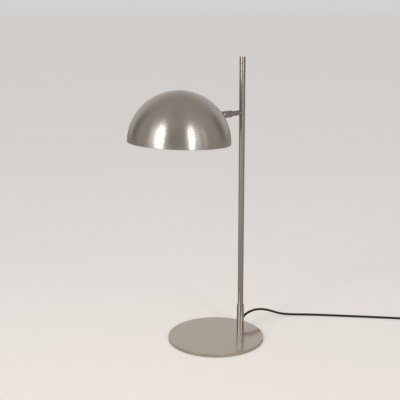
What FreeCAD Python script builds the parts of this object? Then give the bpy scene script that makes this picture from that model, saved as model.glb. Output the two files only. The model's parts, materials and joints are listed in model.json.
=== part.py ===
import FreeCAD, Part
import math
import os
from FreeCAD import Placement, Rotation, Vector

# Dome shade desk lamp: a round base plate, an upright pole in a foot sleeve, a short arm, a ball
# knuckle and a spun hemispherical shade that tilts on it. Millimetres and degrees.
# The origin is the centre of the underside, +Z is up and the shade hangs forward over -Y.

X, Y, Z = Vector(1, 0, 0), Vector(0, 1, 0), Vector(0, 0, 1)
OUT = Vector(0, -1, 0)

# Base
base_diameter = 200.0
base_thickness = 6.0
base_edge_round = 0.8
pad_thickness = 1.0
pad_inset = 3.0
base_screw_diameter = 8.0
base_screw_head = 16.0
base_screw_grip = 12.0
base_screw_socket = 5.0
base_screw_socket_depth = 3.0

# Pole and its foot sleeve
pole_offset = 72.0
pole_diameter = 12.0
pole_wall = 1.0
pole_top = 584.0
cap_thickness = 1.5
cap_spigot = 8.0
cap_chamfer = 0.45
sleeve_diameter = 15.4
sleeve_height = 50.0
sleeve_seat_depth = 19.0
sleeve_floor = 15.0
sleeve_shoulder = 1.2
sleeve_chamfer = 0.6
set_screw_diameter = 3.0
set_screw_below_top = 8.0

# Arm
arm_height = 472.0
arm_reach = 50.5
arm_diameter = 10.0
arm_bore = 7.0
spigot_bore = 5.0
spigot_length = 18.0

# Knuckle
knuckle_diameter = 14.0
knuckle_back = 20.0
knuckle_chamfer = 1.0
tongue_width = 5.6
barrel_start = 4.5
socket_depth = 8.0
pivot_diameter = 3.0
pivot_head = 5.5
pivot_head_height = 1.7
driver_slot_width = 0.8
friction_washer_thickness = 0.4
boss_diameter = 5.4
wire_way_width = 3.8
wire_way_depth = 2.5
wire_bore = 5.0

# Shade
shade_radius = 100.0
shade_wall = 0.8
shade_gap = 28.054
shade_drop = 49.4
shade_tilt = 3.1
hem_height = 3.5
hem_width = 0.8
saddle_thickness = 1.2
inner_saddle_diameter = 16.0
nipple_diameter = 10.0
nipple_bore = 7.0
nipple_grip = 10.0
lock_washer_thickness = 0.8
lock_nut_width = 14.0
lock_nut_thickness = 3.0

# Lampholder and bulb
holder_cap_diameter = 24.0
holder_cap_length = 19.0
holder_entry = 9.3
holder_wall = 2.0
holder_lip = 3.0
skirt_diameter = 26.0
skirt_length = 29.0
insert_thickness = 12.0
lead_way_depth = 6.0
lead_seat_depth = 4.0
contact_diameter = 5.0
contact_height = 2.1
screw_shell_wall = 0.7
bulb_diameter = 45.0
bulb_length = 78.0
bulb_glass_wall = 1.0
bulb_cap_diameter = 13.9
bulb_cap_length = 17.0
bulb_cap_ridge = 0.8
bulb_cap_ridges = 5
bulb_insulator = 5.5
bulb_neck = 24.0
bulb_contact_tip = 4.0
bulb_foot_edge = 1.0

# Leads and cord
lead_diameter = 1.6
lead_spacing = 1.9
lead_bend = 4.0
cord_diameter = 5.0
outlet_height = 27.5
outlet_rise = 22.0
cord_insertion = 4.0
bush_neck = 6.6
bush_root = 8.4
bush_tip = 5.8
bush_length = 6.0
coil_mid_radius = 26.0
coil_columns = 3
coil_layers = 3
coil_lift = 1.2
coil_lead_in = 20.0
coil_skin = 0.2
coil_rounding = 2.2
tie_width = 6.0
tie_thickness = 0.6
tie_gap = 0.5

# In-line switch
switch_length = 54.0
switch_width = 22.0
switch_height = 12.0
switch_wall = 1.6
switch_corner = 8.0
switch_edge_round = 1.2
grommet_length = 20.0
grommet_flange = 8.4
grommet_root = 7.2
grommet_tip = 6.0
rocker_length = 13.4
rocker_width = 7.4
rocker_pivot_diameter = 2.0
rocker_stub = 1.3
rocker_tilt = 7.0
rocker_gap = 0.8
rocker_end_rise = 1.3
rocker_middle_rise = 0.1
rocker_side = 0.4
rocker_keel = 4.7
switch_screw_diameter = 2.2
switch_screw_head = 4.2
switch_screw_spacing = 40.0

# Plug
plug_width = 35.3
plug_thickness = 13.7
plug_length = 36.0
plug_shoulder = 14.0
plug_corner = 3.0
relief_length = 22.0
relief_root = 10.0
relief_tip = 6.4
pin_diameter = 4.0
pin_length = 19.0
pin_spacing = 18.6
pin_core = 3.0
pin_sleeve_diameter = 3.8
pin_sleeve_length = 10.0
pin_seat = 8.0
pin_point_length = 1.1
pin_point_diameter = 2.7

# Clearances
thread_clearance = 0.05
slide_clearance = 0.03
side_play = 0.05
end_clearance = 0.4
running_clearance = 0.05
hole_clearance = 0.2
ring_clearance = 0.3

# The cord's route from the lamp to the in-line switch: its centreline is straight runs
# between these points, joined by tangent arcs that take the same share of the shorter run.
# Past the last visible point it goes on in a frame of its own, turned to the cord's heading.
corner_share = 0.45
cord_heading = 41.8
cord_frame_origin = Vector(200.0, 376.5, 0)
lead_cord_points = [
    (0.1, 91.5, 32.2),
    (0.8, 109.5, 34.4),
    (2.2, 127.5, 32.6),
    (4.2, 146.0, 27.2),
    (6.0, 164.5, 19.3),
    (6.8, 182.5, 10.3),
    (10.5, 201.5, 3.6),
    (27.0, 220.5, 2.5),
    (56.0, 250.5, 2.5),
    (98.0, 287.5, 2.5),
    (140.0, 325.0, 2.5),
    (172.0, 353.0, 2.5),
    (191.0, 369.0, 2.5),
]
switch_start = 46.0
coil_distance = 166.0
cord_rise_points = [(4.0, 0.0, 2.5), (17.0, 0.0, 6.0)]
link_cord_points = [(129.0, 0.0, 6.0), (138.0, 0.0, 3.7)]
tail_cord_points = [(135.0, -62.0, 13.7), (118.0, -62.0, 6.85)]
plug_start = 107.0

# Places worked out from the dimensions
base_top = pad_thickness + base_thickness
sleeve_top = base_top + sleeve_height
pole_bottom = sleeve_top - sleeve_seat_depth
chamber_floor = base_top + sleeve_floor
tube_top = pole_top - cap_thickness
pole_bore = pole_diameter - 2 * pole_wall
pivot = Vector(0, pole_offset - arm_reach, arm_height)
slot_width = tongue_width + 2 * (friction_washer_thickness + side_play)
knuckle_radius = knuckle_diameter / 2
shade_reach = shade_gap + math.sqrt(shade_radius**2 - shade_drop**2)
shade_centre = pivot + OUT * shade_reach - Z * shade_drop
shade_inner_radius = shade_radius - shade_wall
rim_round = (shade_wall + hem_width) / 2
cord_frame = Placement(cord_frame_origin, Rotation(Z, cord_heading))
switch_middle = switch_start + switch_length / 2
switch_axis = switch_height / 2
coil_radius_out = coil_mid_radius + coil_columns * cord_diameter / 2
coil_radius_in = coil_mid_radius - coil_columns * cord_diameter / 2
coil_height = coil_layers * cord_diameter
coil_turn = coil_radius_out - cord_diameter / 2
coil_centre = Vector(coil_distance, -coil_turn, coil_lift)


def along_arm(distance, height=0.0):
    """A point a distance outward from the knuckle's pivot, and a height above the arm's axis."""
    return pivot + OUT * distance + Z * height


def surface_distance(radius, height):
    """How far from the pivot a sphere about the shade's centre is, at a height above the arm."""
    return shade_reach - math.sqrt(radius**2 - (shade_drop + height) ** 2)


barrel_end = surface_distance(shade_radius, -knuckle_radius) - saddle_thickness
saddle_flat = surface_distance(shade_inner_radius, inner_saddle_diameter / 2) + saddle_thickness
nut_start = saddle_flat + lock_washer_thickness
holder_start = nut_start + lock_nut_thickness
cap_end = holder_start + holder_cap_length
insert_end = cap_end + holder_lip + hole_clearance
bulb_tip = insert_end + contact_height + running_clearance


def cylinder(diameter, length, start, axis=Z):
    """A cylinder from a start point along an axis."""
    return Part.makeCylinder(diameter / 2, length, start, axis)


def tube(outside, inside, length, start, axis=Z):
    """A round tube from a start point along an axis."""
    return cylinder(outside, length, start, axis).cut(cylinder(inside, length, start, axis))


def block(low, high):
    """A box between two corners."""
    size = high - low
    return Part.makeBox(size.x, size.y, size.z, low)


def turned(profile, start, axis, side):
    """A solid of revolution about an axis. The profile is (distance along it, radius) pairs."""
    points = [start + axis * a + side * r for a, r in profile]
    face = Part.Face(Part.makePolygon(points + points[:1]))
    return face.revolve(start, axis, 360)


def joined(shapes):
    """Several solids as one."""
    whole = shapes[0]
    for shape in shapes[1:]:
        whole = whole.fuse(shape)
    return whole.removeSplitter()


def circles_at(shape, axis, place, radius):
    """The round edges of a radius that lie at a place along an axis."""
    found = []
    for edge in shape.Edges:
        if isinstance(edge.Curve, Part.Circle) and abs(edge.Curve.Radius - radius) < 1e-6:
            if abs(edge.Curve.Center.dot(axis) - place) < 1e-6:
                found.append(edge)
    return found


def corner_radius(points, i):
    """The radius of the arc at a point of a cord's route, which reaches the same way back on."""
    before, after = points[i] - points[i - 1], points[i + 1] - points[i]
    half_turn = before.getAngle(after) / 2
    return corner_share * min(before.Length, after.Length) / math.tan(half_turn)


def rounded_path(points, radii):
    """A wire of straight runs joined by tangent arcs of the given radii."""
    edges = []
    at = points[0]
    for i in range(1, len(points) - 1):
        back = (points[i - 1] - points[i]).normalize()
        ahead = (points[i + 1] - points[i]).normalize()
        half_turn = (math.pi - back.getAngle(ahead)) / 2
        reach = radii[i - 1] * math.tan(half_turn)
        start, end = points[i] + back * reach, points[i] + ahead * reach
        middle_way = (back + ahead).normalize()
        middle = points[i] + middle_way * radii[i - 1] * (1 / math.cos(half_turn) - 1)
        if (start - at).Length > 1e-6:
            edges.append(Part.LineSegment(at, start).toShape())
        edges.append(Part.Arc(start, middle, end).toShape())
        at = end
    if (points[-1] - at).Length > 1e-6:
        edges.append(Part.LineSegment(at, points[-1]).toShape())
    return Part.Wire(edges)


def swept_round(path, diameter):
    """A round section swept along a wire."""
    first = path.OrderedEdges[0]
    start = first.valueAt(first.FirstParameter)
    heading = first.tangentAt(first.FirstParameter)
    section = Part.Wire([Part.Circle(start, heading, diameter / 2).toShape()])
    return path.makePipeShell([section], True, False)


def cord_tube(name, points):
    """A stretch of the cord, with its arc radii printed and its volume compared."""
    radii = [corner_radius(points, i) for i in range(1, len(points) - 1)]
    path = rounded_path(points, radii)
    solid = swept_round(path, cord_diameter)
    expected = path.Length * math.pi * cord_diameter**2 / 4
    print(name, "radii", [round(r) for r in radii], "length", round(path.Length, 1),
          "volume share", round(solid.Volume / expected, 4))
    return solid


def pair_of_leads(points, radii):
    """Two insulated leads side by side on one route."""
    leads = []
    for side in (-1, 1):
        shifted = [p + X * side * lead_spacing / 2 for p in points]
        leads.append(swept_round(rounded_path(shifted, radii), lead_diameter))
    return Part.makeCompound(leads)


def base_parts():
    """The plate, the pad under it and the countersunk screw that holds the foot sleeve."""
    plate = cylinder(base_diameter, base_thickness, Z * pad_thickness)
    top_edge = circles_at(plate, Z, base_top, base_diameter / 2)
    plate = plate.makeFillet(base_edge_round, top_edge)
    screw_at = Vector(0, pole_offset, pad_thickness)
    shank, head = base_screw_diameter / 2, base_screw_head / 2
    cone = head - shank
    sink = head + hole_clearance
    clear = shank + hole_clearance
    plate = plate.cut(turned([(0, 0), (0, sink), (cone, clear), (base_thickness, clear),
                              (base_thickness, 0)], screw_at, Z, X))
    length = base_thickness + base_screw_grip
    screw = turned([(0, 0), (0, head), (cone, shank), (length, shank), (length, 0)],
                   screw_at, Z, X)
    socket_radius = base_screw_socket / math.sqrt(3)
    corners = [screw_at + Vector(socket_radius * math.cos(math.radians(60 * k)),
                                 socket_radius * math.sin(math.radians(60 * k)), 0)
               for k in range(7)]
    socket = Part.Face(Part.makePolygon(corners)).extrude(Z * base_screw_socket_depth)
    pad = cylinder(base_diameter - 2 * pad_inset, pad_thickness, Vector(0, 0, 0))
    return {"base_plate": plate, "base_pad": pad, "base_screw": screw.cut(socket)}


def outlet_axis():
    """The cord outlet's direction, which rises towards the back."""
    rise = math.radians(outlet_rise)
    return Vector(0, math.cos(rise), math.sin(rise))


def outlet_mouth():
    """Where the outlet's axis meets the back of the foot sleeve."""
    return Vector(0, pole_offset + sleeve_diameter / 2, outlet_height)


def foot_parts():
    """The sleeve with its seat for the pole, its wire chamber and its angled cord outlet."""
    foot = Vector(0, pole_offset, base_top)
    sleeve = cylinder(sleeve_diameter, sleeve_height, foot)
    sleeve = sleeve.makeChamfer(sleeve_chamfer,
                                circles_at(sleeve, Z, sleeve_top, sleeve_diameter / 2))
    seat = Vector(0, pole_offset, pole_bottom)
    sleeve = sleeve.cut(cylinder(pole_diameter + 2 * slide_clearance, sleeve_seat_depth, seat))
    chamber = pole_diameter - 2 * sleeve_shoulder
    sleeve = sleeve.cut(cylinder(chamber, pole_bottom - chamber_floor,
                                 Vector(0, pole_offset, chamber_floor)))
    thread = base_screw_diameter + 2 * thread_clearance
    sleeve = sleeve.cut(cylinder(thread, base_screw_grip + hole_clearance, foot))
    inward = sleeve_diameter / 2
    mouth = outlet_mouth()
    sleeve = sleeve.cut(cylinder(bush_neck + 2 * slide_clearance, inward * 2,
                                 mouth - outlet_axis() * inward, outlet_axis()))
    taper = turned([(-bush_root, 0), (-bush_root, bush_root / 2), (0, bush_root / 2),
                    (bush_length, bush_tip / 2), (bush_length, 0)], mouth, outlet_axis(), X)
    taper = taper.cut(cylinder(sleeve_diameter, sleeve_height, foot))
    neck = cylinder(bush_neck, inward, mouth - outlet_axis() * (inward - chamber / 2),
                    outlet_axis())
    bush = joined([taper, neck])
    bush = bush.cut(cylinder(cord_diameter, 2 * inward, mouth - outlet_axis() * inward,
                             outlet_axis()))
    screw_height = sleeve_top - set_screw_below_top
    tip = pole_bore / 2
    set_screw_length = sleeve_diameter / 2 - tip
    screw_start = Vector(0, pole_offset + tip, screw_height)
    set_screw = cylinder(set_screw_diameter, set_screw_length, screw_start, Y)
    socket = set_screw_diameter / 2
    set_screw = set_screw.cut(cylinder(socket, set_screw_length / 2,
                                       screw_start + Y * set_screw_length / 2, Y))
    hole = cylinder(set_screw_diameter + 2 * thread_clearance, sleeve_diameter,
                    Vector(0, pole_offset, screw_height), Y)
    return {"foot_sleeve": sleeve.cut(hole), "cord_bush": bush,
            "pole_set_screw": set_screw}, hole


def pole_parts(set_screw_hole):
    """The pole with its flush cap, the coped arm tube and the hollow spigot that locates it."""
    pole = tube(pole_diameter, pole_bore, tube_top - pole_bottom,
                Vector(0, pole_offset, pole_bottom))
    pole = pole.cut(set_screw_hole)
    arm_root = Vector(0, pole_offset, arm_height)
    pole = pole.cut(cylinder(arm_bore, pole_diameter, arm_root, OUT))
    cap = turned([(-cap_spigot, 0), (-cap_spigot, pole_bore / 2 - slide_clearance),
                  (0, pole_bore / 2 - slide_clearance), (0, pole_diameter / 2),
                  (cap_thickness - cap_chamfer, pole_diameter / 2),
                  (cap_thickness, pole_diameter / 2 - cap_chamfer),
                  (cap_thickness, 0)], Vector(0, pole_offset, tube_top), Z, X)
    arm_end = arm_reach - knuckle_back + socket_depth
    arm = tube(arm_diameter, arm_bore, arm_end, arm_root, OUT)
    arm = arm.cut(cylinder(pole_diameter, 2 * arm_diameter,
                           Vector(0, pole_offset, arm_height - arm_diameter)))
    inside = pole_bore / 2 - pole_wall / 2
    spigot = tube(arm_bore - 2 * slide_clearance, spigot_bore, spigot_length - inside,
                  arm_root + OUT * inside, OUT)
    return {"pole_tube": pole, "pole_cap": cap, "arm_tube": arm, "arm_spigot": spigot}


def knuckle_parts():
    """The fork on the arm, the tongue that carries the shade, the pivot screw and the washers.
    Fork and tongue end in one ball about the pivot, and the leads pass round the pivot inside.
    They are made about the origin and then moved to the pivot."""
    hub = Vector(0, 0, 0)
    clear_radius = knuckle_radius + end_clearance
    wide = knuckle_diameter
    fork = cylinder(knuckle_diameter, knuckle_back, OUT * -knuckle_back, OUT)
    back_edge = circles_at(fork, OUT, -knuckle_back, knuckle_radius)
    fork = fork.makeChamfer(knuckle_chamfer, back_edge)
    fork = fork.fuse(Part.makeSphere(knuckle_radius, hub, X)).removeSplitter()
    slab = block(Vector(-slot_width / 2, -wide, -wide), Vector(slot_width / 2, wide, wide))
    front = block(Vector(-wide, -wide, -wide), Vector(wide, 0, wide))
    fork = fork.cut(slab.common(Part.makeSphere(clear_radius, hub, X).fuse(front)))
    fork = fork.cut(cylinder(arm_diameter + 2 * slide_clearance, socket_depth,
                             OUT * -knuckle_back, OUT))
    fork = fork.cut(cylinder(wire_bore, knuckle_back - socket_depth,
                             OUT * (socket_depth - hole_clearance - knuckle_back), OUT))
    head_seat = knuckle_radius - pivot_head_height
    fork = fork.cut(cylinder(pivot_diameter + 2 * running_clearance, knuckle_diameter,
                             X * -knuckle_radius, X))
    fork = fork.cut(cylinder(pivot_head + 2 * hole_clearance, knuckle_radius,
                             X * head_seat, X))
    screw_end = knuckle_radius - end_clearance
    screw = cylinder(pivot_diameter, screw_end + head_seat, X * -screw_end, X)
    screw = screw.fuse(cylinder(pivot_head, pivot_head_height - end_clearance / 2,
                                X * head_seat, X))
    slot_half = driver_slot_width / 2
    driver_slot = block(Vector(knuckle_radius - pivot_head_height / 2, -slot_half, -wide),
                        Vector(wide, slot_half, wide))
    screw = screw.removeSplitter().cut(driver_slot)
    washers = []
    washer_outside = 2 * math.sqrt(knuckle_radius**2 - (slot_width / 2) ** 2)
    for side in (-1, 1):
        face = X * side * slot_width / 2
        washers.append(tube(washer_outside, pivot_diameter + 2 * running_clearance,
                            friction_washer_thickness, face, X * -side))
    plate = block(Vector(-tongue_width / 2, -2 * barrel_start, -wide),
                  Vector(tongue_width / 2, -barrel_start, wide))
    barrel = cylinder(knuckle_diameter, barrel_end, hub, OUT)
    between = block(Vector(-tongue_width / 2, -wide, -wide),
                    Vector(tongue_width / 2, wide, wide))
    ball = Part.makeSphere(knuckle_radius, hub, X).common(between)
    cup = Part.makeSphere(clear_radius, hub, X)
    shank = barrel.cut(cylinder(2 * wide, barrel_start, hub, OUT)).cut(cup)
    tongue = joined([shank, plate.common(barrel), ball])
    way_reach = boss_diameter / 2 + wire_way_depth
    way = block(Vector(-wire_way_width / 2, 0, -way_reach),
                Vector(wire_way_width / 2, wide, way_reach))
    ring = cylinder(2 * way_reach, wire_way_width, X * -wire_way_width / 2, X)
    boss = cylinder(boss_diameter, wide, X * -wide / 2, X)
    tongue = tongue.cut(way.fuse(ring).cut(boss))
    tongue = tongue.cut(cylinder(wire_bore, barrel_end, hub, OUT).cut(boss))
    tongue = tongue.cut(cylinder(nipple_diameter + 2 * slide_clearance, nipple_grip,
                                 OUT * (barrel_end - nipple_grip), OUT))
    tongue = tongue.cut(cylinder(pivot_diameter + 2 * running_clearance, wide,
                                 X * -wide / 2, X))
    fixed = {"knuckle_fork": fork, "pivot_screw": screw,
             "friction_washers": Part.makeCompound(washers)}
    for shape in [tongue, *fixed.values()]:
        shape.translate(pivot)
    return fixed, {"knuckle_tongue": tongue}


def shade_parts():
    """The spun shade with its inward hem, and the saddles, nipple and nut that hold it."""
    top, inner_top = shade_centre + Z * shade_radius, shade_centre + Z * shade_inner_radius
    lift = Z * math.sqrt(0.5)
    rim_angle = math.asin(rim_round / shade_radius)
    rim = shade_centre + (Y * math.cos(rim_angle) + Z * math.sin(rim_angle)) * shade_radius
    outer = Part.Arc(rim, shade_centre + (Y * math.sqrt(0.5) + lift) * shade_radius, top)
    hem_angle = math.asin(hem_height / shade_inner_radius)
    hem_top = shade_centre + (Y * math.cos(hem_angle) + Z * math.sin(hem_angle)) \
        * shade_inner_radius
    inner = Part.Arc(inner_top, shade_centre + (Y * math.sqrt(0.5) + lift) * shade_inner_radius,
                     hem_top)
    hem_foot = shade_centre + Y * (shade_inner_radius - hem_width) + Z * rim_round
    edge = Part.Arc(hem_foot, shade_centre + Y * (shade_radius - rim_round), rim)
    outline = [outer.toShape(), Part.LineSegment(top, inner_top).toShape(), inner.toShape(),
               Part.LineSegment(hem_top, hem_top - Y * hem_width).toShape(),
               Part.LineSegment(hem_top - Y * hem_width, hem_foot).toShape(),
               edge.toShape()]
    shell = Part.Face(Part.Wire(outline)).revolve(shade_centre, Z, 360)
    hole_diameter = nipple_diameter + 2 * hole_clearance
    hole = cylinder(hole_diameter, shade_reach, along_arm(0), OUT)
    outer_saddle = cylinder(knuckle_diameter, shade_radius, along_arm(barrel_end), OUT)
    outer_saddle = outer_saddle.cut(Part.makeSphere(shade_radius, shade_centre)).cut(hole)
    inner_saddle = cylinder(inner_saddle_diameter, saddle_flat, along_arm(0), OUT)
    inner_saddle = inner_saddle.common(Part.makeSphere(shade_inner_radius, shade_centre))
    inner_saddle = inner_saddle.cut(hole)
    nipple_start = barrel_end - nipple_grip
    nipple = tube(nipple_diameter, nipple_bore, holder_start + holder_entry - nipple_start,
                  along_arm(nipple_start), OUT)
    washer = tube(inner_saddle_diameter, hole_diameter, lock_washer_thickness,
                  along_arm(saddle_flat), OUT)
    reach = lock_nut_width / math.sqrt(3)
    corners = [along_arm(nut_start) + Vector(reach * math.cos(math.radians(60 * k)), 0,
                                             reach * math.sin(math.radians(60 * k)))
               for k in range(7)]
    nut = Part.Face(Part.makePolygon(corners)).extrude(OUT * lock_nut_thickness)
    nut = nut.cut(cylinder(nipple_diameter + 2 * thread_clearance, lock_nut_thickness,
                           along_arm(nut_start), OUT))
    return {"shade_shell": shell.cut(hole), "outer_saddle": outer_saddle,
            "inner_saddle": inner_saddle, "nipple": nipple, "lock_washer": washer,
            "lock_nut": nut}


def holder_parts():
    """The lampholder: cap, skirt, ceramic insert, screw shell and centre contact."""
    cap_inside = holder_cap_diameter / 2 - holder_wall
    lip_outside = cap_inside + holder_wall / 2
    entry = nipple_diameter / 2 + thread_clearance
    lead_round = holder_wall
    long = holder_cap_length
    cap = turned([(0, entry), (0, holder_cap_diameter / 2 - lead_round),
                  (lead_round, holder_cap_diameter / 2), (long, holder_cap_diameter / 2),
                  (long, lip_outside), (long + holder_lip, lip_outside),
                  (long + holder_lip, cap_inside), (holder_entry, cap_inside),
                  (holder_entry, entry)], along_arm(holder_start), OUT, X)
    shell_outside = bulb_cap_diameter + 2 * (ring_clearance + screw_shell_wall)
    bore = shell_outside / 2 + slide_clearance
    deep = holder_lip + hole_clearance
    skirt = turned([(0, lip_outside + thread_clearance), (0, skirt_diameter / 2),
                    (skirt_length - lead_round, skirt_diameter / 2),
                    (skirt_length, skirt_diameter / 2 - lead_round), (skirt_length, bore),
                    (deep, bore), (deep, lip_outside + thread_clearance)],
                   along_arm(cap_end), OUT, X)
    insert = cylinder(2 * (cap_inside - slide_clearance), insert_thickness,
                      along_arm(insert_end - insert_thickness), OUT)
    for side in (-1, 1):
        way = along_arm(insert_end - insert_thickness) + X * side * lead_spacing / 2
        insert = insert.cut(cylinder(lead_diameter + hole_clearance, lead_way_depth, way, OUT))
    shell_length = skirt_length - deep - holder_wall
    shell = tube(shell_outside, shell_outside - 2 * screw_shell_wall, shell_length,
                 along_arm(insert_end), OUT)
    contact = cylinder(contact_diameter, contact_height, along_arm(insert_end), OUT)
    return {"holder_cap": cap, "holder_skirt": skirt, "holder_insert": insert,
            "holder_screw_shell": shell, "holder_contact": contact}


def bulb_parts():
    """A round bulb: hollow glass, ridged screw cap and the insulator with its contact."""
    shell_start, shell_end = bulb_insulator, bulb_insulator + bulb_cap_length
    ball_radius = bulb_diameter / 2
    ball = bulb_length - ball_radius
    crest, root = bulb_cap_diameter / 2, bulb_cap_diameter / 2 - bulb_cap_ridge
    outline = [(shell_start, crest - 2 * bulb_cap_ridge)]
    pitch = bulb_cap_length / bulb_cap_ridges
    for k in range(bulb_cap_ridges):
        outline += [(shell_start + pitch * k, root), (shell_start + pitch * (k + 0.5), crest)]
    outline += [(shell_end, root), (shell_end, crest - 2 * bulb_cap_ridge)]
    cap = turned(outline, along_arm(bulb_tip), OUT, X)
    contact_radius = contact_diameter / 2
    throat = crest - 2 * bulb_cap_ridge - slide_clearance
    foot_end = bulb_insulator + bulb_foot_edge
    foot = turned([(0, 0), (0, bulb_contact_tip / 2), (bulb_foot_edge, contact_radius),
                   (bulb_insulator, throat), (foot_end, throat), (foot_end, 0)],
                  along_arm(bulb_tip), OUT, X)
    neck_radius = bulb_neck / 2
    neck_at = ball - math.sqrt(ball_radius**2 - neck_radius**2)
    glass_start = shell_end - pitch
    centre = along_arm(bulb_tip + ball)

    def skin(inset):
        """The glass's outer or inner form: a ball, a tapering neck and a throat in the cap."""
        at = along_arm(bulb_tip)
        neck = turned([(glass_start, 0), (glass_start, throat - inset),
                       (shell_end + running_clearance, throat - inset),
                       (neck_at, neck_radius - inset), (ball, neck_radius - inset), (ball, 0)],
                      at, OUT, X)
        return neck.fuse(Part.makeSphere(ball_radius - inset, centre)).removeSplitter()

    glass = skin(0).cut(skin(bulb_glass_wall))
    return {"bulb_glass": glass, "bulb_screw_cap": cap, "bulb_foot": foot}


def lead_parts():
    """The leads in pole and arm, and those that go round the pivot to the lampholder."""
    start = outlet_mouth() - outlet_axis() * cord_insertion
    corner = start - outlet_axis() * pole_diameter / 2
    top = Vector(0, corner.y, arm_height)
    end = along_arm(-knuckle_radius - end_clearance - lead_diameter)
    lower = pair_of_leads([start, corner, top, end], [lead_bend, lead_bend])
    turn = lead_bend * math.tan(math.radians(22.5))
    slope = lead_bend * math.sqrt(2)
    insert_start = insert_end - insert_thickness
    upper = pair_of_leads([along_arm(-lead_bend), along_arm(-lead_bend, lead_bend),
                           along_arm(turn, lead_bend), along_arm(slope),
                           along_arm(insert_start + lead_seat_depth)],
                          [lead_bend] * 3)
    return {"pole_leads": lower}, {"shade_leads": upper}


def tie_block(growth):
    """A round-edged block as wide as the tie, that holds the coil's section with a margin."""
    low = Vector(coil_radius_in - growth, -tie_width / 2, -growth)
    high = Vector(coil_radius_out + growth, tie_width / 2, coil_height + growth)
    body = block(coil_centre + low, coil_centre + high)
    along = [e for e in body.Edges if abs(e.tangentAt(0).y) > 0.99]
    return body.makeFillet(coil_rounding + growth, along)


def coil_parts():
    """The wound length as one closed ring with its two ends, and the tie round it."""
    inner, outer = coil_radius_in - coil_skin, coil_radius_out + coil_skin
    low, high = -coil_skin, coil_height + coil_skin
    ring = turned([(low, inner), (low, outer), (high, outer), (high, inner)],
                  coil_centre, Z, X)
    ring = ring.makeFillet(coil_rounding, [e for e in ring.Edges
                                           if isinstance(e.Curve, Part.Circle)])
    first = Vector(coil_distance - coil_lead_in, 0, coil_lift + cord_diameter / 2)
    last = Vector(coil_distance - coil_lead_in, -2 * coil_turn,
                  coil_lift + coil_height - cord_diameter / 2)
    ring = joined([ring, cylinder(cord_diameter, coil_lead_in, first, X),
                   cylinder(cord_diameter, coil_lead_in, last, X)])
    tie = tie_block(tie_gap + tie_thickness).cut(tie_block(tie_gap))
    return {"cord_coil": ring, "cord_tie": tie}, first, last


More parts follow.
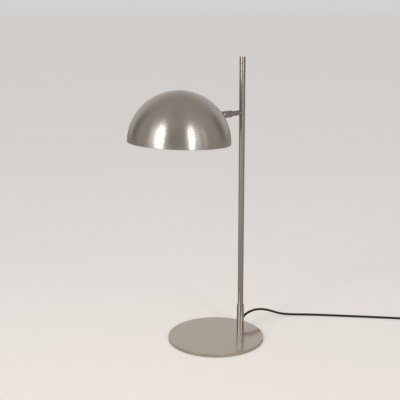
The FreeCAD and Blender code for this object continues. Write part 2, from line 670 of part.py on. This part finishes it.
def switch_parts():
    """The in-line switch: two housing halves, rocker, grommets and screws."""
    long, wide, tall = switch_length / 2, switch_width / 2, switch_height

    def slab(inset, low, high):
        """A round-cornered block about the switch's middle."""
        body = block(Vector(-long + inset, -wide + inset, low),
                     Vector(long - inset, wide - inset, high))
        upright = [e for e in body.Edges if abs(e.tangentAt(0).z) > 0.99]
        return body.makeFillet(switch_corner - inset, upright)

    whole = slab(0, 0, tall)
    flat_edges = [e for e in whole.Edges if e.CenterOfMass.z < 1e-6
                  or e.CenterOfMass.z > tall - 1e-6]
    whole = whole.makeFillet(switch_edge_round, flat_edges)
    bottom = whole.common(slab(-1, 0, switch_axis)).cut(slab(switch_wall, switch_wall, tall))
    top = whole.common(slab(-1, switch_axis, tall))
    top = top.cut(slab(switch_wall, 0, tall - switch_wall))
    rocker_pivot = Vector(0, 0, tall - 2 * switch_wall)
    cheek_inside = rocker_width / 2 + ring_clearance
    opening = block(Vector(-rocker_length / 2 - rocker_gap, -cheek_inside, 0),
                    Vector(rocker_length / 2 + rocker_gap, cheek_inside, 2 * tall))
    cheeks = []
    for side in (-1, 1):
        low, high = sorted((side * cheek_inside, side * (cheek_inside + switch_wall)))
        reach = 2 * rocker_pivot_diameter
        cheeks.append(block(Vector(-reach, low, rocker_pivot.z - reach),
                            Vector(reach, high, tall - switch_wall)))
    top = joined([top] + cheeks).cut(opening)
    pin_room = cylinder(rocker_pivot_diameter + 2 * running_clearance,
                        switch_width - 4 * switch_wall,
                        Vector(0, -wide + 2 * switch_wall, rocker_pivot.z), Y)
    top = top.cut(pin_room)
    screws = []
    for side in (-1, 1):
        at = Vector(side * switch_screw_spacing / 2, 0, 0)
        post_foot = switch_wall / 2
        post = cylinder(switch_screw_head + 2 * switch_wall, tall - switch_wall - post_foot,
                        at + Z * post_foot)
        bottom = joined([bottom, post.common(slab(0, 0, switch_axis))])
        top = joined([top, post.common(slab(0, switch_axis, tall))])
        depth = tall - 2 * switch_wall
        head = switch_screw_head / 2
        sink = switch_axis / 2
        hole = turned([(0, 0), (0, head + hole_clearance), (sink, head + hole_clearance),
                       (sink, switch_screw_diameter / 2 + thread_clearance),
                       (depth, switch_screw_diameter / 2 + thread_clearance), (depth, 0)],
                      at, Z, X)
        bottom, top = bottom.cut(hole), top.cut(hole)
        screws.append(turned([(switch_wall / 2, 0), (switch_wall / 2, head), (sink, head),
                              (sink, switch_screw_diameter / 2),
                              (depth - hole_clearance, switch_screw_diameter / 2),
                              (depth - hole_clearance, 0)], at, Z, X))
    grommets = []
    for side in (-1, 1):
        inside_at = Vector(side * (long - 2 * switch_wall), 0, switch_axis)
        neck = 2 * switch_wall
        flange = grommet_flange / 2
        grommets.append(turned([(0, 0), (0, flange), (switch_wall - hole_clearance, flange),
                                (switch_wall - hole_clearance, grommet_root / 2),
                                (neck, grommet_root / 2),
                                (neck + grommet_length, grommet_tip / 2),
                                (neck + grommet_length, 0)], inside_at, X * side, Z))
        entry = cylinder(grommet_root + 2 * slide_clearance, 2 * neck,
                         Vector(side * (long - neck), 0, switch_axis), X * side)
        bottom, top = bottom.cut(entry), top.cut(entry)
    half = rocker_length / 2
    rise = tall - rocker_pivot.z
    ends, keel = rise + rocker_end_rise, rocker_keel / 2
    profile = [(-half, ends), (0, rise + rocker_middle_rise), (half, ends), (half, rocker_side),
               (keel, -rocker_pivot_diameter), (-keel, -rocker_pivot_diameter),
               (-half, rocker_side)]
    points = [rocker_pivot + X * a + Z * b - Y * rocker_width / 2 for a, b in profile]
    rocker = Part.Face(Part.makePolygon(points + points[:1])).extrude(Y * rocker_width)
    pin_reach = rocker_width / 2 + ring_clearance + rocker_stub
    rocker = joined([rocker, cylinder(rocker_pivot_diameter, 2 * pin_reach,
                                      rocker_pivot - Y * pin_reach, Y)])
    rocker.rotate(rocker_pivot, Y, rocker_tilt)
    parts = {"switch_base": bottom, "switch_cover": top, "switch_rocker": rocker,
             "switch_grommets": Part.makeCompound(grommets),
             "switch_screws": Part.makeCompound(screws)}
    for shape in parts.values():
        shape.translate(Vector(switch_middle, 0, 0))
    return parts


def plug_parts():
    """A flat two-pin plug with its moulded strain relief, lying on the floor by the coil."""
    at = Vector(plug_start, -2 * coil_turn, plug_thickness / 2)
    back, face = relief_length, relief_length + plug_length
    half, narrow = plug_width / 2, relief_root
    outline = [(back, -narrow / 2), (back + plug_shoulder, -half), (face, -half),
               (face, half), (back + plug_shoulder, half), (back, narrow / 2)]
    corners = [at - X * a + Y * b - Z * plug_thickness / 2 for a, b in outline]
    body = Part.Face(Part.makePolygon(corners + corners[:1])).extrude(Z * plug_thickness)
    upright = [e for e in body.Edges if abs(e.tangentAt(0).z) > 0.99]
    body = body.makeFillet(plug_corner, upright)
    body = body.makeFillet(plug_corner / 2, [e for e in body.Edges
                                             if abs(e.tangentAt(0).z) < 0.01])
    relief = turned([(0, 0), (0, relief_tip / 2), (back + plug_corner, relief_root / 2),
                     (back + plug_corner, 0)], at, -X, Z)
    body = joined([body, relief])
    pins, sleeves = [], []
    for side in (-1, 1):
        root = at - X * (face - pin_seat) + Y * side * pin_spacing / 2
        tip = at - X * face + Y * side * pin_spacing / 2
        body = body.cut(cylinder(pin_core + 2 * slide_clearance, pin_seat, root, -X))
        bare, end = pin_seat + pin_sleeve_length, pin_length + pin_seat
        pins.append(turned([(0, 0), (0, pin_core / 2), (bare, pin_core / 2),
                            (bare, pin_diameter / 2),
                            (end - pin_point_length, pin_diameter / 2),
                            (end, pin_point_diameter / 2), (end, 0)], root, -X, Z))
        sleeves.append(tube(pin_sleeve_diameter, pin_core + 2 * slide_clearance,
                            pin_sleeve_length, tip, -X))
    return {"plug_body": body, "plug_pins": Part.makeCompound(pins),
            "plug_pin_sleeves": Part.makeCompound(sleeves)}, at


def cord_parts(coil_start, coil_end, plug_at):
    """The three uncoiled stretches of the cord: lamp to switch, switch to coil, coil to plug."""
    outlet = outlet_mouth() - outlet_axis() * cord_insertion
    switch_in = Vector(switch_start - grommet_length, 0, switch_axis)
    switch_out = Vector(switch_start + switch_length + grommet_length, 0, switch_axis)
    placed = cord_frame.multVec
    first = [outlet] + [Vector(*p) for p in lead_cord_points]
    first += [placed(Vector(*p)) for p in cord_rise_points] + [placed(switch_in)]
    link = [placed(p) for p in
            [switch_out] + [Vector(*p) for p in link_cord_points] + [coil_start]]
    tail = [placed(p) for p in [coil_end] + [Vector(*p) for p in tail_cord_points] + [plug_at]]
    return {"lamp_cord": cord_tube("lamp_cord", first),
            "link_cord": cord_tube("link_cord", link),
            "tail_cord": cord_tube("tail_cord", tail)}


def build():
    """Every piece by name, in its place at rest."""
    parts = base_parts()
    foot, set_screw_hole = foot_parts()
    parts.update(foot)
    parts.update(pole_parts(set_screw_hole))
    on_arm, tilting = knuckle_parts()
    pole_leads, shade_leads = lead_parts()
    parts.update(on_arm)
    parts.update(pole_leads)
    for group in (shade_parts(), holder_parts(), bulb_parts(), shade_leads):
        tilting.update(group)
    for shape in tilting.values():
        shape.rotate(pivot, X, -shade_tilt)
    parts.update(tilting)
    coil, coil_start, coil_end = coil_parts()
    plug, plug_at = plug_parts()
    for group in (coil, switch_parts(), plug):
        for name, shape in group.items():
            shape.Placement = cord_frame.multiply(shape.Placement)
            parts[name] = shape
    parts.update(cord_parts(coil_start, coil_end, plug_at))
    return parts


os.makedirs("parts", exist_ok=True)
for name, shape in build().items():
    if not shape.isValid():
        print("not valid:", name)
    shape.exportStep(os.path.join("parts", name + ".step"))
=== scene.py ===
import json
import math

import bpy
from mathutils import Euler, Matrix, Vector

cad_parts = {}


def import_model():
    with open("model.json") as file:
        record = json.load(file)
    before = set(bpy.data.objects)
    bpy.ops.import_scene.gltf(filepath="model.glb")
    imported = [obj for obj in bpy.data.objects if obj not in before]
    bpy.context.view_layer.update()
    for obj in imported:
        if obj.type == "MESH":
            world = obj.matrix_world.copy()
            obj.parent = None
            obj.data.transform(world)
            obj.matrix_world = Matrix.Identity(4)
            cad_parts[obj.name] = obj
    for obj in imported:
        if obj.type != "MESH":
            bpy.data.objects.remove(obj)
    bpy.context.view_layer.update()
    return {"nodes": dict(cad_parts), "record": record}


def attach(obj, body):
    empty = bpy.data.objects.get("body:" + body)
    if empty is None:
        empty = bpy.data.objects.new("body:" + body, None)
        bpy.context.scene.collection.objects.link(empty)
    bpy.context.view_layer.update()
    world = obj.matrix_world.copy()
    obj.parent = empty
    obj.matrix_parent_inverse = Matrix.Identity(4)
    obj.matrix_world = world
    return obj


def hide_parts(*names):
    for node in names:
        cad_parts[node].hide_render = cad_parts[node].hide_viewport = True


# Dome shade desk lamp: the looks, in metres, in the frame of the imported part. The origin is the
# centre of the base's underside, +Z is up, the shade hangs over -Y and the cord leaves at +Y.

MM = 0.001

# What the photograph's camera fit gave, and where things are on the lamp
CAMERA_PLACE = Vector((1.1862, -1.0911, 0.6938))
CAMERA_PITCH = 13.72
CAMERA_HEADING = 48.54
CAMERA_ROLL = -0.2
FOCAL_LENGTH = 73.6
SENSOR_WIDTH = 36.0
POLE_OFFSET = 72 * MM
OUTLET_HEIGHT = 27.5 * MM
SLEEVE_RADIUS = 7.7 * MM
SHADE_RADIUS = 100 * MM
SHADE_WALL = 0.8 * MM
SHADE_REACH = 115 * MM
SHADE_DROP = 49.4 * MM
SHADE_TILT = 3.1
ARM_HEIGHT = 472 * MM
PIVOT_OFFSET = 21.5 * MM
CORD_DIAMETER = 5 * MM

# The cord's route, in millimetres: from inside the sleeve to the view's edge, then in a frame
# that is turned to the cord's heading there, through the switch and the coil to the plug.
OUTLET_RISE = 22.0
CORD_INSERTION = 4.0
LEAD_POINTS = [
    (0.1, 91.5, 32.2),
    (0.8, 109.5, 34.4),
    (2.2, 127.5, 32.6),
    (4.2, 146.0, 27.2),
    (6.0, 164.5, 19.3),
    (6.8, 182.5, 10.3),
    (10.5, 201.5, 3.6),
    (27.0, 220.5, 2.5),
    (56.0, 250.5, 2.5),
    (98.0, 287.5, 2.5),
    (140.0, 325.0, 2.5),
    (172.0, 353.0, 2.5),
    (191.0, 369.0, 2.5),
]
CORD_HEADING = 41.8
CORD_FRAME_ORIGIN = Vector((200.0, 376.5, 0.0))
SWITCH_POINTS = [
    (4.0, 0.0, 2.5),
    (17.0, 0.0, 6.0),
    (26.0, 0.0, 6.0),
    (120.0, 0.0, 6.0),
    (129.0, 0.0, 6.0),
    (138.0, 0.0, 3.7),
    (146.0, 0.0, 3.7),
]
COIL_CENTRE = Vector((166.0, -31.0, 0.0))
COIL_TURNS = [(31, 3.7), (26, 3.7), (21, 3.7), (21, 8.7), (26, 8.7), (31, 8.7), (26, 13.7),
              (31, 13.7)]
COIL_POINTS_PER_TURN = 24
COIL_CHANGE_SHARE = 0.2
TAIL_POINTS = [
    (146.0, -62.0, 13.7),
    (135.0, -62.0, 13.7),
    (118.0, -62.0, 6.85),
    (107.0, -62.0, 6.85),
]

# Tints, light and surround
BULB_GLOW = 2.2
# The shade's nickel. The base's is the same nickel painted lighter, and the stem's and arm's the
# same nickel painted darker, as painted light and painted shade.
NICKEL = (0.60, 0.555, 0.51)
BASE_NICKEL_PAINTED_LIGHTER = (0.71, 0.635, 0.565)
STEM_ARM_NICKEL_PAINTED_DARKER = (0.46, 0.42, 0.385)
ACROSS_THE_GRAIN = 0.25

# The surround: what the camera sees, what lights the lamp by its bearing from the camera's
# (degrees and grey), and what is overhead.
SKY_SEEN = (0.64, 0.64, 0.635, 1)
SKY_WARMTH = 0.965
SKY_ROUND = [(180, 0.56), (136, 0.52), (121, 0.17), (112, 0.21), (98, 0.38), (70, 0.35),
             (0, 0.27)]
SKY_OVERHEAD = (0.38, 0.34, 0.315, 1)

# The soft boxes: name, bearing from the camera's, width and radiance. All stand at one distance
# and height and are equally tall. A wide left one fades outwards, and the right ones are narrow.
BOX_DISTANCE = 2.6
BOX_HEIGHT = 1.2
BOX_TALL = 2.0
SOFT_BOXES = [("left_box", -38.5, 0.38, 6.0), ("left_box_middle", -48, 0.45, 1.9),
              ("left_box_edge", -60, 0.55, 0.5), ("right_box", 28.5, 0.44, 5.0),
              ("right_box_middle", 44, 0.22, 0.9), ("right_box_edge", 59, 0.3, 0.45)]
LAMP_MIDDLE = 0.4
FLOOR_RADIUS = 40
FLOOR_SIDES = 64
# A painted pool of warm lamplight on the floor, seen only by the camera: its centre, its reach
# and its glow, fading to the floor's even glow.
PAINTED_POOL_PLACE = (0.35, -0.45, 0)
PAINTED_POOL_REACH = 1.5
PAINTED_POOL_GLOW = (0.385, 0.35, 0.32, 1)
FAR_GLOW = (0.335, 0.34, 0.345, 1)


def cord_frame_point(point):
    """A point of the cord's own frame in the lamp's frame, both in millimetres."""
    turn = Matrix.Rotation(math.radians(CORD_HEADING), 3, "Z")
    return CORD_FRAME_ORIGIN + turn @ Vector(point)


# ---------------------------------------------------------------- materials

class Nodes:
    """A material's node tree with short ways to add and join nodes."""

    def __init__(self, name):
        self.material = bpy.data.materials.new(name)
        self.material.use_nodes = True
        self.tree = self.material.node_tree
        self.shader = self.tree.nodes["Principled BSDF"]

    def add(self, kind, inputs=(), **settings):
        node = self.tree.nodes.new(kind)
        for key, value in settings.items():
            setattr(node, key, value)
        for key, value in dict(inputs).items():
            self.set(node, key, value)
        return node

    def set(self, node, key, value):
        socket = node.inputs[key]
        if isinstance(value, bpy.types.NodeSocket):
            self.tree.links.new(value, socket)
        else:
            socket.default_value = value

    def surface(self, **inputs):
        for key, value in inputs.items():
            self.set(self.shader, key.replace("_", " "), value)

    def math(self, operation, first, second=0.0):
        node = self.add("ShaderNodeMath", operation=operation)
        self.set(node, 0, first)
        self.set(node, 1, second)
        return node.outputs[0]

    def vector(self, operation, first, second=(0, 0, 0)):
        node = self.add("ShaderNodeVectorMath", operation=operation)
        self.set(node, 0, first)
        self.set(node, 1, second)
        return node.outputs[1] if operation in ("LENGTH", "DOT_PRODUCT") else node.outputs[0]

    def noise(self, place, scale, detail=3.0, roughness=0.55):
        return self.add("ShaderNodeTexNoise", {"Vector": place, "Scale": scale,
                                               "Detail": detail, "Roughness": roughness})

    def ramp(self, value, low, high, first, second):
        """The value's range from low to high mapped to two numbers."""
        node = self.add("ShaderNodeMapRange", {"From Min": low, "From Max": high,
                                               "To Min": first, "To Max": second})
        self.set(node, "Value", value)
        return node.outputs["Result"]

    def mix(self, share, first, second):
        node = self.add("ShaderNodeMix", data_type="RGBA")
        self.set(node, 0, share)
        self.set(node, 6, first)
        self.set(node, 7, second)
        return node.outputs[2]

    def bump(self, height, strength, distance):
        node = self.add("ShaderNodeBump", {"Strength": strength, "Distance": distance,
                                           "Height": height})
        return node.outputs["Normal"]

    def place(self):
        return self.add("ShaderNodeTexCoord").outputs["Object"]


def satin_nickel(name, centre, axis, tint, roughness, anisotropy, grain_pitch):
    """Satin nickel with a fine grain round an axis, as spinning or turning leaves it."""
    n = Nodes(name)
    away = n.vector("SUBTRACT", n.place(), centre)
    along = n.vector("DOT_PRODUCT", away, axis)
    foot = n.add("ShaderNodeVectorMath", operation="SCALE")
    n.set(foot, 0, axis)
    n.set(foot, "Scale", along)
    outward = n.vector("SUBTRACT", away, foot.outputs[0])
    radius = n.vector("LENGTH", outward)
    around = n.vector("NORMALIZE", n.vector("CROSS_PRODUCT", axis, outward))
    lines = n.add("ShaderNodeCombineXYZ")
    n.set(lines, 0, n.math("MULTIPLY", n.math("ADD", radius, along), 1 / grain_pitch))
    n.set(lines, 1, n.math("MULTIPLY", n.math("SUBTRACT", radius, along), 1 / grain_pitch))
    grain = n.noise(lines.outputs[0], 1.0, detail=2.0).outputs["Fac"]
    cloud = n.noise(n.place(), 14.0, detail=2.0).outputs["Fac"]
    shade = n.math("MULTIPLY", n.ramp(grain, 0.3, 0.7, 0.985, 1.015),
                   n.ramp(cloud, 0.3, 0.7, 0.985, 1.015))
    colour = n.add("ShaderNodeVectorMath", operation="SCALE")
    n.set(colour, 0, tint)
    n.set(colour, "Scale", shade)
    rough = n.math("ADD", n.ramp(grain, 0.25, 0.75, -0.01, 0.01),
                   n.ramp(cloud, 0.3, 0.7, roughness - 0.012, roughness + 0.012))
    n.surface(Base_Color=colour.outputs[0], Metallic=1.0, Roughness=rough,
              Anisotropic=anisotropy, Anisotropic_Rotation=ACROSS_THE_GRAIN,
              Normal=n.bump(grain, 0.03, 0.00002))
    tangent = n.add("ShaderNodeVectorTransform", vector_type="VECTOR", convert_from="OBJECT",
                    convert_to="WORLD")
    n.set(tangent, "Vector", around)
    n.set(n.shader, "Tangent", tangent.outputs[0])
    return n.material


def plain_metal(name, tint, roughness):
    """Bright plated or bare metal with a faint mottle."""
    n = Nodes(name)
    cloud = n.noise(n.place(), 260.0).outputs["Fac"]
    n.surface(Base_Color=n.mix(n.ramp(cloud, 0.35, 0.7, 0, 1), [*tint, 1],
                               [c * 0.86 for c in tint] + [1]),
              Metallic=1.0, Roughness=n.ramp(cloud, 0.3, 0.7, roughness * 0.85,
                                             roughness * 1.2),
              Normal=n.bump(cloud, 0.05, 0.00005))
    return n.material


def plastic(name, tint, roughness, pitch, depth):
    """Moulded or sheathed plastic with an even fine texture."""
    n = Nodes(name)
    texture = n.noise(n.place(), 1 / pitch, detail=2.0).outputs["Fac"]
    cloud = n.noise(n.place(), 45.0).outputs["Fac"]
    n.surface(Base_Color=n.mix(n.ramp(cloud, 0.3, 0.7, 0, 1), [*tint, 1],
                               [c * 1.25 for c in tint] + [1]),
              Roughness=n.ramp(cloud, 0.3, 0.7, roughness * 0.93, roughness * 1.07),
              Normal=n.bump(texture, 0.25, depth))
    return n.material


def white_lacquer():
    """The shade's inside: matt white lacquer that scatters the bulb's light."""
    n = Nodes("white_lacquer")
    peel = n.noise(n.place(), 320.0, detail=1.0).outputs["Fac"]
    cloud = n.noise(n.place(), 20.0).outputs["Fac"]
    n.surface(Base_Color=n.mix(n.ramp(cloud, 0.3, 0.7, 0, 1), (0.83, 0.82, 0.79, 1),
                               (0.79, 0.78, 0.75, 1)),
              Roughness=n.ramp(cloud, 0.3, 0.7, 0.42, 0.5),
              Normal=n.bump(peel, 0.1, 0.0001))
    return n.material


def opal_glass():
    """The bulb's opal glass."""
    n = Nodes("opal_glass")
    cloud = n.noise(n.place(), 60.0).outputs["Fac"]
    n.surface(Base_Color=n.mix(n.ramp(cloud, 0.3, 0.7, 0, 1), (0.93, 0.91, 0.87, 1),
                               (0.89, 0.87, 0.83, 1)),
              Roughness=n.ramp(cloud, 0.3, 0.7, 0.16, 0.22),
              Emission_Color=(1.0, 0.86, 0.66, 1))
    n.surface(Emission_Strength=BULB_GLOW)
    return n.material


# ---------------------------------------------------------------- the scene

def shade_place():
    """The shade's centre and its axis, tilted about the knuckle's pivot."""
    pivot = Vector((0, PIVOT_OFFSET, ARM_HEIGHT))
    turn = Matrix.Rotation(math.radians(-SHADE_TILT), 3, "X")
    return pivot + turn @ Vector((0, -SHADE_REACH, -SHADE_DROP)), turn @ Vector((0, 0, 1))


def dress_cad_nodes(frame):
    """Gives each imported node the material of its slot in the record."""
    up, outward = (0, 0, 1), (0, -1, 0)
    centre, axis = shade_place()
    pole = (0, POLE_OFFSET, 0)
    arm = (0, 0, ARM_HEIGHT)
    shade = satin_nickel("shade_nickel", centre, axis, NICKEL, 0.27, 0.6, 0.0006)
    # Painted light and shade: the base's nickel is tinted lighter and the stem's and arm's darker
    # than the shade's.
    base = satin_nickel("base_nickel", (0, 0, 0), up, BASE_NICKEL_PAINTED_LIGHTER, 0.2, 0.25, 0.0005)
    stem = satin_nickel("stem_nickel", pole, up, STEM_ARM_NICKEL_PAINTED_DARKER, 0.2, 0.3, 0.0004)
    arm_metal = satin_nickel("arm_nickel", arm, outward, STEM_ARM_NICKEL_PAINTED_DARKER, 0.2, 0.3, 0.0004)
    by_slot = {
        "shade_nickel": shade,
        "base_nickel": base,
        "stem_nickel": stem,
        "plated_steel": plain_metal("plated_steel", (0.60, 0.60, 0.60), 0.28),
        "nylon": plastic("nylon", (0.72, 0.71, 0.66), 0.45, 0.0004, 0.00002),
        "base_pad": plastic("base_pad", (0.02, 0.02, 0.02), 0.85, 0.0008, 0.0002),
        "holder_plastic": plastic("holder_plastic", (0.74, 0.73, 0.69), 0.4, 0.0006, 0.00003),
        "ceramic": plastic("ceramic", (0.78, 0.77, 0.73), 0.25, 0.0010, 0.00002),
        "contact_brass": plain_metal("contact_brass", (0.78, 0.60, 0.30), 0.25),
        "opal_glass": opal_glass(),
        "bulb_cap_metal": plain_metal("bulb_cap_metal", (0.72, 0.72, 0.70), 0.25),
        "lead_insulation": plastic("lead_insulation", (0.16, 0.09, 0.05), 0.4, 0.0010, 0.00002),
        "cord_sheath": plastic("cord_sheath", (0.010, 0.010, 0.010), 0.42, 0.0012, 0.00003),
        "cord_fittings": plastic("cord_fittings", (0.014, 0.014, 0.014), 0.5, 0.0005, 0.00005),
        "switch_rocker": plastic("switch_rocker", (0.02, 0.02, 0.02), 0.3, 0.0015, 0.00001),
        "cord_tie": plastic("cord_tie", (0.03, 0.03, 0.03), 0.6, 0.0004, 0.00005),
        "plug_metal": plain_metal("plug_metal", (0.66, 0.64, 0.60), 0.2),
    }
    slots = {s["node"]: s["material_slot"] for s in frame["record"]["subparts"]}
    along_arm = ("arm_tube", "knuckle_fork", "knuckle_tongue", "outer_saddle")
    for name, node in frame["nodes"].items():
        node.data.materials.clear()
        node.data.materials.append(arm_metal if name in along_arm else by_slot[slots[name]])
    line_shade(frame["nodes"]["shade_shell"], centre)
    return by_slot


def line_shade(shell, centre):
    """Gives the faces on the shade's inside the white lacquer."""
    shell.data.materials.append(white_lacquer())
    skin = SHADE_RADIUS - SHADE_WALL / 2
    for face in shell.data.polygons:
        if (face.center - centre).length < skin:
            face.material_index = 1


def coil_points():
    """The coil's turns, each held at its own radius and layer until it steps to the next."""
    points = []
    count = int((len(COIL_TURNS) - 0.5) * COIL_POINTS_PER_TURN)
    step = 2 * math.pi / COIL_POINTS_PER_TURN
    for k in range(1, count):
        turn, share = divmod(k / COIL_POINTS_PER_TURN, 1)
        here = COIL_TURNS[int(turn)]
        then = COIL_TURNS[min(int(turn) + 1, len(COIL_TURNS) - 1)]
        change = max(0.0, (share - 1 + COIL_CHANGE_SHARE) / COIL_CHANGE_SHARE)
        radius = (here[0] + (then[0] - here[0]) * change) / math.cos(step / 2)
        height = here[1] + (then[1] - here[1]) * change
        angle = math.pi / 2 - k * step
        points.append((COIL_CENTRE.x + radius * math.cos(angle),
                       COIL_CENTRE.y + radius * math.sin(angle), height))
    return points


def power_cord(material):
    """The cord on one smooth curve, from the sleeve through the switch and coil to the plug."""
    rise = math.radians(OUTLET_RISE)
    mouth = Vector((0, POLE_OFFSET + SLEEVE_RADIUS, OUTLET_HEIGHT)) / MM
    start = mouth - Vector((0, math.cos(rise), math.sin(rise))) * CORD_INSERTION
    points = [start] + [Vector(p) for p in LEAD_POINTS]
    points += [cord_frame_point(p) for p in SWITCH_POINTS + coil_points() + TAIL_POINTS]
    curve = bpy.data.curves.new("power_cord", "CURVE")
    curve.dimensions = "3D"
    curve.resolution_u = 6
    curve.bevel_depth = CORD_DIAMETER / 2
    curve.bevel_resolution = 5
    curve.use_fill_caps = True
    spline = curve.splines.new("NURBS")
    spline.points.add(len(points) - 1)
    for place, point in zip(spline.points, points):
        place.co = (*(point * MM), 1)
    spline.order_u = 3
    spline.use_endpoint_u = True
    cord = bpy.data.objects.new("power_cord", curve)
    cord.data.materials.append(material)
    bpy.context.scene.collection.objects.link(cord)
    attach(cord, "stand")
    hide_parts("lamp_cord", "link_cord", "cord_coil", "tail_cord")


def make_camera():
    data = bpy.data.cameras.new("camera")
    data.lens = FOCAL_LENGTH
    data.sensor_width = SENSOR_WIDTH
    data.clip_end = 100
    camera = bpy.data.objects.new("camera", data)
    camera.location = CAMERA_PLACE
    aim = Euler((math.radians(90 - CAMERA_PITCH), 0, math.radians(CAMERA_HEADING)))
    camera.rotation_euler = (aim.to_matrix() @ Matrix.Rotation(
        math.radians(CAMERA_ROLL), 3, "Z")).to_euler()
    bpy.context.scene.collection.objects.link(camera)
    bpy.context.scene.camera = camera


def area_light(name, place, target, width, height, radiance):
    """A white soft box of a given radiance: power = radiance x pi x area."""
    data = bpy.data.lights.new(name, "AREA")
    data.shape = "RECTANGLE"
    data.size, data.size_y = width, height
    data.energy = radiance * math.pi * width * height
    light = bpy.data.objects.new(name, data)
    light.location = place
    light.rotation_euler = (target - place).to_track_quat("-Z", "Y").to_euler()
    light.visible_camera = False
    bpy.context.scene.collection.objects.link(light)


def from_lamp(azimuth, distance, height):
    """A place round the lamp, by its bearing to the right of the camera's from the lamp."""
    towards = Vector((CAMERA_PLACE.x, CAMERA_PLACE.y, 0)).normalized()
    turned = Matrix.Rotation(math.radians(azimuth), 3, "Z") @ towards
    return turned * distance + Vector((0, 0, height))


def seen_share(n):
    """1 for rays from the camera or through glass, 0 for those that light things."""
    rays = n.add("ShaderNodeLightPath").outputs
    return n.math("MAXIMUM", rays["Is Camera Ray"], rays["Is Transmission Ray"])


def pale_floor():
    """A matt pale floor that looks lighter than it lights, with a painted warm pool of lamplight
    by the lamp.
    """
    n = Nodes("floor")
    cloud = n.noise(n.place(), 1.5).outputs["Fac"]
    n.surface(Base_Color=n.mix(n.ramp(cloud, 0.3, 0.7, 0, 1), (0.78, 0.77, 0.755, 1),
                               (0.79, 0.78, 0.765, 1)), Roughness=0.9)
    n.shader.inputs["Specular IOR Level"].default_value = 0.1
    # Painted light: the floor's glow turns warmer and brighter in a pool round a spot by the
    # lamp.
    reach = n.vector("LENGTH", n.vector("SUBTRACT", n.place(), PAINTED_POOL_PLACE))
    painted_pool_share = n.ramp(reach, 0.0, PAINTED_POOL_REACH, 1.0, 0.0)
    n.tree.nodes[-1].interpolation_type = "SMOOTHSTEP"
    n.set(n.shader, "Emission Color", n.mix(painted_pool_share, FAR_GLOW, PAINTED_POOL_GLOW))
    n.set(n.shader, "Emission Strength", seen_share(n))
    return n.material


def studio():
    """A pale floor out to the horizon, soft boxes on both sides of the camera and the sky."""
    mesh = bpy.data.meshes.new("floor")
    corners = [(math.cos(a) * FLOOR_RADIUS, math.sin(a) * FLOOR_RADIUS, 0)
               for a in (2 * math.pi * k / FLOOR_SIDES for k in range(FLOOR_SIDES))]
    mesh.from_pydata(corners, [], [list(range(FLOOR_SIDES))])
    floor = bpy.data.objects.new("floor", mesh)
    bpy.context.scene.collection.objects.link(floor)
    floor.data.materials.append(pale_floor())
    target = Vector((0, 0, LAMP_MIDDLE))
    for name, bearing, width, radiance in SOFT_BOXES:
        area_light(name, from_lamp(bearing, BOX_DISTANCE, BOX_HEIGHT), target, width, BOX_TALL,
                   radiance)
    soft_sky()


def soft_sky():
    """A grey surround by the bearing from the camera, warmer overhead, even where seen."""
    world = bpy.data.worlds.new("studio")
    bpy.context.scene.world = world
    world.use_nodes = True
    tree = world.node_tree
    back = tree.nodes["Background"]
    way = tree.nodes.new("ShaderNodeTexCoord").outputs["Generated"]
    apart = tree.nodes.new("ShaderNodeSeparateXYZ")
    tree.links.new(way, apart.inputs[0])
    level = tree.nodes.new("ShaderNodeVectorMath")
    level.operation = "MULTIPLY"
    level.inputs[1].default_value = (1, 1, 0)
    tree.links.new(way, level.inputs[0])
    flat = tree.nodes.new("ShaderNodeVectorMath")
    flat.operation = "NORMALIZE"
    tree.links.new(level.outputs[0], flat.inputs[0])
    facing = tree.nodes.new("ShaderNodeVectorMath")
    facing.operation = "DOT_PRODUCT"
    facing.inputs[1].default_value = Vector((CAMERA_PLACE.x, CAMERA_PLACE.y, 0)).normalized()
    tree.links.new(flat.outputs[0], facing.inputs[0])
    share = tree.nodes.new("ShaderNodeMapRange")
    share.inputs["From Min"].default_value = -1
    tree.links.new(facing.outputs["Value"], share.inputs["Value"])
    round_about = tree.nodes.new("ShaderNodeValToRGB")
    tree.links.new(share.outputs["Result"], round_about.inputs["Fac"])
    stops = round_about.color_ramp.elements
    while len(stops) < len(SKY_ROUND):
        stops.new(0.5)
    for stop, (bearing, grey) in zip(stops, SKY_ROUND):
        stop.position = (math.cos(math.radians(bearing)) + 1) / 2
        stop.color = (grey, grey * SKY_WARMTH, grey * SKY_WARMTH ** 2, 1)
    overhead = tree.nodes.new("ShaderNodeMapRange")
    overhead.interpolation_type = "SMOOTHSTEP"
    overhead.inputs["From Min"].default_value = 0.35
    overhead.inputs["From Max"].default_value = 0.85
    tree.links.new(apart.outputs["Z"], overhead.inputs["Value"])
    blend = tree.nodes.new("ShaderNodeMix")
    blend.data_type = "RGBA"
    blend.inputs[7].default_value = SKY_OVERHEAD
    tree.links.new(overhead.outputs["Result"], blend.inputs[0])
    tree.links.new(round_about.outputs["Color"], blend.inputs[6])
    rays = tree.nodes.new("ShaderNodeLightPath")
    seen = tree.nodes.new("ShaderNodeMix")
    seen.data_type = "RGBA"
    seen.inputs[7].default_value = SKY_SEEN
    tree.links.new(rays.outputs["Is Camera Ray"], seen.inputs[0])
    tree.links.new(blend.outputs[2], seen.inputs[6])
    tree.links.new(seen.outputs[2], back.inputs["Color"])


def main():
    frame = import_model()
    make_camera()
    materials = dress_cad_nodes(frame)
    power_cord(materials["cord_sheath"])
    studio()
    bpy.context.scene.view_settings.view_transform = "Standard"


main()
